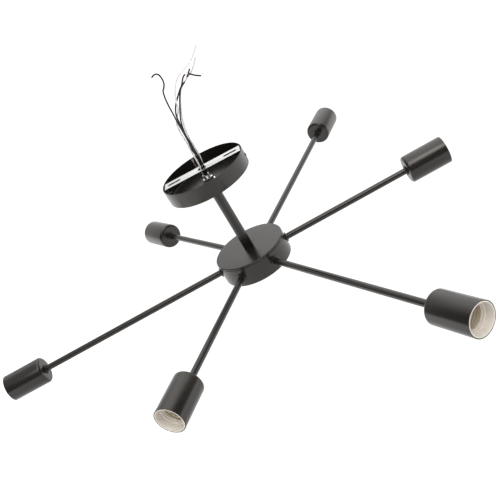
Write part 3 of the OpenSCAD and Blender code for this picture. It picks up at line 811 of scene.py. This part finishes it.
def toothTree():
    tree, sockets, given = startTree("teethRoundRing", {
        "Object": ("Tooth",), "Int": ("Count",), "Float": ("Radius", "Twist"), "Material": ("Finish",)})
    circle = addNode(tree, "GeometryNodeMeshCircle", {"Vertices": given["Count"], "Radius": given["Radius"]})
    tooth = addNode(tree, "GeometryNodeObjectInfo", {"Object": given["Tooth"]})
    index = tree.nodes.new("GeometryNodeInputIndex").outputs[0]
    step = maths(tree, "DIVIDE", 2 * math.pi, given["Count"])
    heading = maths(tree, "MULTIPLY", index, step)
    turn = addNode(tree, "ShaderNodeCombineXYZ", {"X": given["Twist"], "Z": heading})
    spread = addNode(tree, "GeometryNodeInstanceOnPoints", {
        "Points": circle.outputs["Mesh"], "Instance": tooth.outputs["Geometry"], "Rotation": turn.outputs[0]})
    finishTree(tree, spread.outputs["Instances"], given["Finish"])
    return tree, sockets


def makeWasher(w):
    root, low, high, half = w["root"] + w["overlap"], w["lift"], w["lift"] + w["thick"], w["thick"] / 2
    ring = turned("washerRing", [(w["inner"], low, w["edge"]), (root, low, w["edge"]), (root, high, w["edge"]),
                                 (w["inner"], high, w["edge"])], brightNut, around=96)
    ends = ((w["toothStart"], 1.0), (w["outer"] - w["root"], w["taper"]))
    points = [(x * mm, sy * w["toothHalf"] * mm * f, sz * half * mm) for x, f in ends for sy, sz in endCorners]
    tooth = makePiece("tooth", points, boxFaces, brightNut)
    teeth = runTree("washerTeeth", toothTree(), {
        "Tooth": tooth, "Count": w["teeth"], "Radius": w["root"] * mm, "Twist": math.radians(w["twist"]),
    }, brightNut)
    bpy.data.objects.remove(tooth)
    moved(teeth, shift(0, 0, low + half))
    return moved(joined("lockWasher", [ring, teeth]), shift(0, 0, canopyFloor))


settle(makeWasher(washer), "canopy_body", "bright_nut", "lock_washer")

# Rod, its nuts and the stem
stem = {
    "rod": light["rodRadius"], "rodBore": 4.0, "pitch": 1.0, "threadDepth": 0.45,
    "nut": 14.0, "nutHeight": light["nutHeight"], "canopyNutAt": canopyFloor + light["washer"],
    "hubNutAt": lidUnder - light["nutHeight"], "rodTop": -light["rodDrop"], "around": 48, "rowsPerTurn": 5,
    "cutPast": 1.0,
}
stem["rodEnd"] = stem["hubNutAt"] - light["rodTail"]
for label, node, base in (("canopyNut", "canopy_nut", stem["canopyNutAt"]),
                          ("hubNut", "hub_nut", stem["hubNutAt"])):
    nut = hexNut(label, stem["nut"], stem["rod"] + light["threadGap"], stem["nutHeight"], brightNut)
    settle(moved(nut, shift(0, 0, base)), "stem_body", "bright_nut", node)
rodLength = stem["rodTop"] - stem["rodEnd"]
rodRows = int(rodLength / stem["pitch"] * stem["rowsPerTurn"])
hollowRod = threaded("hollowRod", filledThread, (stem["rod"], stem["threadDepth"], stem["pitch"], rodLength),
                     zincRod, sharpness=1.0, around=stem["around"], rows=rodRows)
moved(hollowRod, shift(0, 0, (stem["rodTop"] + stem["rodEnd"]) / 2))
cutBy(hollowRod, rod(stem["rodBore"], stem["rodEnd"] - stem["cutPast"], stem["rodTop"] + stem["cutPast"]))
settle(hollowRod, "stem_body", "zinc_rod", "threaded_rod")
print("stem made")


# Hub: lid, drum with its arm holes, and the screws under it
hub = {
    "radius": 52.0, "wall": 1.2, "edge": 2.2, "pillarAt": 34.0, "pillarTurns": (30, 150, 270), "screwHole": 1.7,
    "lidBend": 1.4, "lidSkirt": 2.8, "seam": 0.4, "seat": 1.5, "lidGap": 0.02, "band": 6.0,
    "armCut": (-6.0, 4.0), "screwCut": (-2.0, 3.0),
}
h = hub
inside = h["radius"] - h["wall"]
skirtEnd = lidTop - h["lidSkirt"]
lid = turned("hubLid", [
    (rodHole, lidUnder, 0.1), (inside, lidUnder, 0.3), (inside, skirtEnd, 0.1), (h["radius"], skirtEnd, 0.3),
    (h["radius"], lidTop, h["lidBend"]), (rodHole, lidTop, 0.1)], blackPaint, around=192)
settle(lid, "stem_body", "black_paint", "hub_lid")
seatAt, seatRadius, seatTop = skirtEnd - h["seam"], h["radius"] - h["seat"], lidUnder - h["lidGap"]
bandLow, bandHigh, floorAbove = armHeight - h["band"], armHeight + h["band"], hubBottom + h["wall"]
drum = turned("hubDrum", [
    (0, hubBottom, 0), (h["radius"], hubBottom, h["edge"]), (h["radius"], bandLow, 0),
    (h["radius"], bandHigh, 0), (h["radius"], seatAt, 0.4), (seatRadius, seatAt, 0.1),
    (seatRadius, seatTop, 0.2), (seatRadius - h["wall"], seatTop, 0.2),
    (seatRadius - h["wall"], seatAt - h["wall"], 0.3),
    (inside, seatAt - 2 * h["wall"], 0.3), (inside, bandHigh, 0), (inside, bandLow, 0),
    (inside, floorAbove, h["edge"] - h["wall"]), (0, floorAbove, 0),
], blackPaint, around=192)
armHeadings = (4.3, 62.6, 124.2, 184.0, 243.5, 301.8)
for heading in armHeadings:
    hole = rod(armHole, h["radius"] + h["armCut"][0], h["radius"] + h["armCut"][1])
    cutBy(drum, moved(hole, rotation(heading, "Z") @ shift(0, 0, armHeight) @ rotation(90, "Y")))
for angle in h["pillarTurns"]:
    hole = rod(h["screwHole"], hubBottom + h["screwCut"][0], hubBottom + h["screwCut"][1])
    cutBy(drum, moved(hole, rotation(angle, "Z") @ shift(h["pillarAt"], 0, 0)))
settle(drum, "stem_body", "black_paint", "hub_drum")

hubScrew = {
    "thread": 3.0, "pitch": 0.5, "depth": 0.22, "length": 8.0, "head": 5.6, "headHeight": 1.6, "crossTurn": 0.7,
}
screwParts = []
for angle in h["pillarTurns"]:
    screw = panScrew("hubScrew", hubScrew, darkScrew)
    screwParts.append(moved(screw, rotation(angle, "Z") @ shift(h["pillarAt"], 0, hubBottom)
                            @ rotation(180, "X") @ Matrix.Rotation(angle * hubScrew["crossTurn"], 4, "Z")))
settle(joined("hubScrews", screwParts), "stem_body", "dark_screw", "hub_screws")
print("hub made")


# One lamp holder, measured from its mouth, with Z pointing out of it
cup = {"radius": 19.75, "length": 60.0, "wall": 0.8, "edge": 4.0, "hole": light["armRadius"] + light["holeGap"]}
holder = {
    "radius": 18.65, "skirt": 17.35, "skirtDepth": 10.5, "step": 15.5, "shellDepth": 13.0, "shellRadius": 14.15,
    "floorDepth": 33.0, "well": 7.0, "wellDepth": 37.6, "stemHole": 2.55, "pocketDepth": 40.6, "pocket": 6.0,
    "shoulderDepth": 43.6, "neckStart": 46.6, "neck": 8.0, "tubeHole": armHole, "end": 59.2,
}
screwShell = {
    "inner": 13.3, "depth": 13.0, "length": 20.0, "pitch": 3.6, "rise": 0.5, "sheet": 0.26, "around": 96,
    "rows": 84, "lip": 10.0, "lipOut": 0.3, "lipFrom": 0.02, "lipTo": 0.3, "lipEdge": 0.1, "startTurn": 40.0,
}
contact = {
    "head": 3.5, "front": 33.1, "back": 34.9, "stem": 2.5, "clip": 3.6, "clipFrom": 40.9, "clipTo": 41.7,
    "end": 43.1,
}
locknut = {"acrossFlats": 12.0, "bore": armHole, "height": 2.0, "gap": 0.1}
reaches = {"short": 304.5, "long": 408.0, "trims": (0, 0, 0, 0, 0, 2.5)}

cupPattern = turned("cupPattern", [
    (cup["hole"], -cup["length"], 0.15), (cup["radius"], -cup["length"], cup["edge"]), (cup["radius"], 0, 0.35),
    (cup["radius"] - cup["wall"], 0, 0.35),
    (cup["radius"] - cup["wall"], cup["wall"] - cup["length"], cup["edge"] - cup["wall"]),
    (cup["hole"], cup["wall"] - cup["length"], 0.15),
], blackPaint, around=160)
g = holder
holderPattern = turned("holderPattern", [
    (g["radius"], 0, 0.35), (g["radius"], -g["shoulderDepth"], 0.8), (g["neck"], -g["neckStart"], 0.6),
    (g["neck"], -g["end"], 0.4), (g["tubeHole"], -g["end"], 0.2), (g["tubeHole"], -g["neckStart"], 0.2),
    (g["pocket"], -g["neckStart"], 0.3), (g["pocket"], -g["pocketDepth"], 0.3),
    (g["stemHole"], -g["pocketDepth"], 0.1), (g["stemHole"], -g["wellDepth"], 0.1),
    (g["well"], -g["wellDepth"], 0.5), (g["well"], -g["floorDepth"], 0.3),
    (g["shellRadius"], -g["floorDepth"], 0.1), (g["shellRadius"], -g["shellDepth"], 0.25),
    (g["step"], -g["shellDepth"], 0.4), (g["step"], -g["skirtDepth"], 0.5), (g["skirt"], -g["skirtDepth"], 0.6),
    (g["skirt"], 0, 0.5),
], holderCream, around=160)

s = screwShell
thread = threaded("shellThread", openThread, (s["inner"] + s["rise"], s["rise"], s["pitch"], s["length"]),
                  shellMetal, sharpness=0.0, around=s["around"], rows=s["rows"])
sheet = thread.modifiers.new("sheet", "SOLIDIFY")
sheet.thickness = s["sheet"] * mm
sheet.offset = 1.0
takeMesh(thread)
moved(thread, shift(0, 0, -(s["depth"] + s["length"] / 2)))
bottom, lipRadius = -s["depth"] - s["length"], s["inner"] + s["lipOut"]
lip = turned("shellLip", [(r, bottom + rise, s["lipEdge"]) for r, rise in (
    (s["lip"], s["lipFrom"]), (lipRadius, s["lipFrom"]), (lipRadius, s["lipTo"]), (s["lip"], s["lipTo"]))],
             shellMetal, around=s["around"])
shellPattern = joined("shellPattern", [thread, lip])

k = contact
contactPattern = turned("contactPattern", [
    (0, -k["front"], 0), (k["head"], -k["front"], 0.9), (k["head"], -k["back"], 0.2),
    (k["stem"], -k["back"], 0.2), (k["stem"], -k["clipFrom"], 0.05), (k["clip"], -k["clipFrom"], 0.15),
    (k["clip"], -k["clipTo"], 0.15), (k["stem"], -k["clipTo"], 0.05), (k["stem"], -k["end"], 0.4),
    (0, -k["end"], 0),
], contactBrass, around=64)
nutPattern = hexNut("nutPattern", locknut["acrossFlats"], locknut["bore"], locknut["height"], blackNut)
moved(nutPattern, rotation(30, "Z"))

corner = locknut["acrossFlats"] / 2 / math.cos(math.radians(30))
nutInside = math.sqrt(inside ** 2 - corner ** 2) - locknut["gap"] - locknut["height"]
nutOutside = hub["radius"] + locknut["gap"]
for number, heading in enumerate(armHeadings, 1):
    reach = reaches["short" if number % 2 else "long"] - reaches["trims"][number - 1]
    body = "arm_body_%d" % number
    atMouth = rotation(heading, "Z") @ shift(reach, 0, armHeight) @ rotation(90, "Y")
    ownStart = atMouth @ rotation(screwShell["startTurn"] * number, "Z")   # no two threads start alike
    for pattern, label, at, slotName, node in (
            (cupPattern, "lampCup", atMouth, "black_paint", "lamp_cup"),
            (holderPattern, "lampHolder", atMouth, "holder_cream", "lamp_holder"),
            (shellPattern, "screwShell", ownStart, "shell_metal", "screw_shell")):
        settle(copied(pattern, label + str(number), at), body, slotName, "%s_%d" % (node, number))
    settle(copied(contactPattern, "centreContact%d" % number, atMouth), "contact_body_%d" % number,
           "contact_brass", "centre_contact_%d" % number)
    nuts = [copied(nutPattern, "nut", atMouth @ shift(0, 0, start - reach))
            for start in (nutInside, nutOutside, reach - cup["length"] - locknut["height"])]
    settle(joined("armNuts%d" % number, nuts), body, "black_nut", "arm_locknuts_%d" % number)
for pattern in (cupPattern, holderPattern, shellPattern, contactPattern, nutPattern):
    bpy.data.objects.remove(pattern)
print("arms dressed:", len(armHeadings))


# Solids that stay as they are get their finish
kept = {
    "stem_tube": blackPaint, "hub_pillars": zincRod, "terminal_block": blockPlastic,
    "riser_leads": blackInsulation, "arm_leads": blackInsulation,
}
for number in range(1, len(armHeadings) + 1):
    kept["arm_tube_%d" % number] = blackPaint
for node, material in kept.items():
    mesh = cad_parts[node].data
    mesh.materials.clear()
    mesh.materials.append(material)
print("kept solids painted:", len(kept))


# Floor and surroundings: a floor that glows white as a light, a pale wall behind, a dark room in front and soft
# panels above
studio = {
    "floorAt": -0.75, "floorSize": 30.0, "floorTone": 0.05, "floorRoughness": 0.9,
    "floorGlow": (1.0, 1.6), "glowSpread": (0.6, 1.6), "shown": 1.0,
    "wall": (0.2, 1.3), "wallFrom": (0.2, 0.5), "ceiling": 0.65, "ceilingFrom": (0.62, 0.86),
    "panels": (
        # Heading from the back wall to the right, height, inner and outer half width in degrees, strength
        (25.0, 42.0, 10.0, 42.0, 1.0),
        (100.0, 78.0, 12.0, 30.0, 2.0),
        (150.0, 61.0, 7.0, 16.0, 6.5),
        (190.0, 50.0, 8.0, 14.0, 3.5),
    ),
    # Wide lights for the matte parts: heading from the front to the right, height, spread in degrees, strength
    "softLights": ((-25.0, 35.0, 100.0, 0.75), (35.0, 30.0, 100.0, 0.65), (0.0, 90.0, 150.0, 0.5)),
}
bpy.ops.mesh.primitive_plane_add(size=studio["floorSize"], location=(0, 0, studio["floorAt"]))
floor = bpy.context.active_object
floor.name = "floor"
floorMaterial, floorTree, floorShader = startMaterial("glowingFloor")
objectCoords = floorTree.nodes.new("ShaderNodeTexCoord").outputs["Object"]
across = addNode(floorTree, "ShaderNodeSeparateXYZ", {0: objectCoords}).outputs["X"]
# The floor's pale look is its own glow over a dark base; the glow grows stronger further out to the sides and
# lights the parts
feed(floorTree, floorShader, {
    "Base Color": (*(studio["floorTone"],) * 3, 1.0), "Roughness": studio["floorRoughness"],
    "Emission Color": (1.0, 1.0, 1.0, 1.0),
    "Emission Strength": rangeOf(floorTree, maths(floorTree, "ABSOLUTE", across), *studio["floorGlow"],
                                 *studio["glowSpread"]),
})
floor.data.materials.append(floorMaterial)

world = bpy.data.worlds.new("studio")
bpy.context.scene.world = world
world.use_nodes = True
sky = world.node_tree
sky.nodes.clear()
direction = sky.nodes.new("ShaderNodeTexCoord").outputs["Generated"]
parts = addNode(sky, "ShaderNodeSeparateXYZ", {0: direction}).outputs


def smoothly(value):
    value.node.interpolation_type = "SMOOTHSTEP"
    return value


wall = smoothly(rangeOf(sky, parts["Y"], *studio["wall"], *studio["wallFrom"]))
ceiling = smoothly(rangeOf(sky, parts["Z"], 0.0, studio["ceiling"], *studio["ceilingFrom"]))
brightness = maths(sky, "ADD", wall, ceiling)
for heading, height, inner, outer, strength in studio["panels"]:
    a, b = math.radians(heading), math.radians(height)
    toPanel = (math.sin(a) * math.cos(b), math.cos(a) * math.cos(b), math.sin(b))
    nearness = addNode(sky, "ShaderNodeVectorMath", {0: direction, 1: toPanel}, operation="DOT_PRODUCT")
    panel = rangeOf(sky, nearness.outputs["Value"], 0.0, strength,
                    math.cos(math.radians(outer)), math.cos(math.radians(inner)))
    brightness = maths(sky, "ADD", brightness, smoothly(panel))
glow = addNode(sky, "ShaderNodeBackground", {"Strength": brightness})
seen = addNode(sky, "ShaderNodeBackground", {"Color": (1, 1, 1, 1), "Strength": studio["shown"]})
cameraRay = sky.nodes.new("ShaderNodeLightPath").outputs["Is Camera Ray"]
chooser = addNode(sky, "ShaderNodeMixShader", {"Fac": cameraRay, 1: glow.outputs[0], 2: seen.outputs[0]})
addNode(sky, "ShaderNodeOutputWorld", {"Surface": chooser.outputs[0]})
for azimuth, height, spread, strength in studio["softLights"]:
    softLight = bpy.data.lights.new("softLight", "SUN")
    softLight.angle = math.radians(spread)
    softLight.energy = strength
    lamp = linked("softLight", softLight)
    lamp.rotation_euler = (math.radians(90 - height), 0, math.radians(azimuth))
    lamp.visible_glossy = False   # the paint mirrors the panels alone
bpy.context.scene.view_settings.view_transform = "Standard"
print("studio lit")
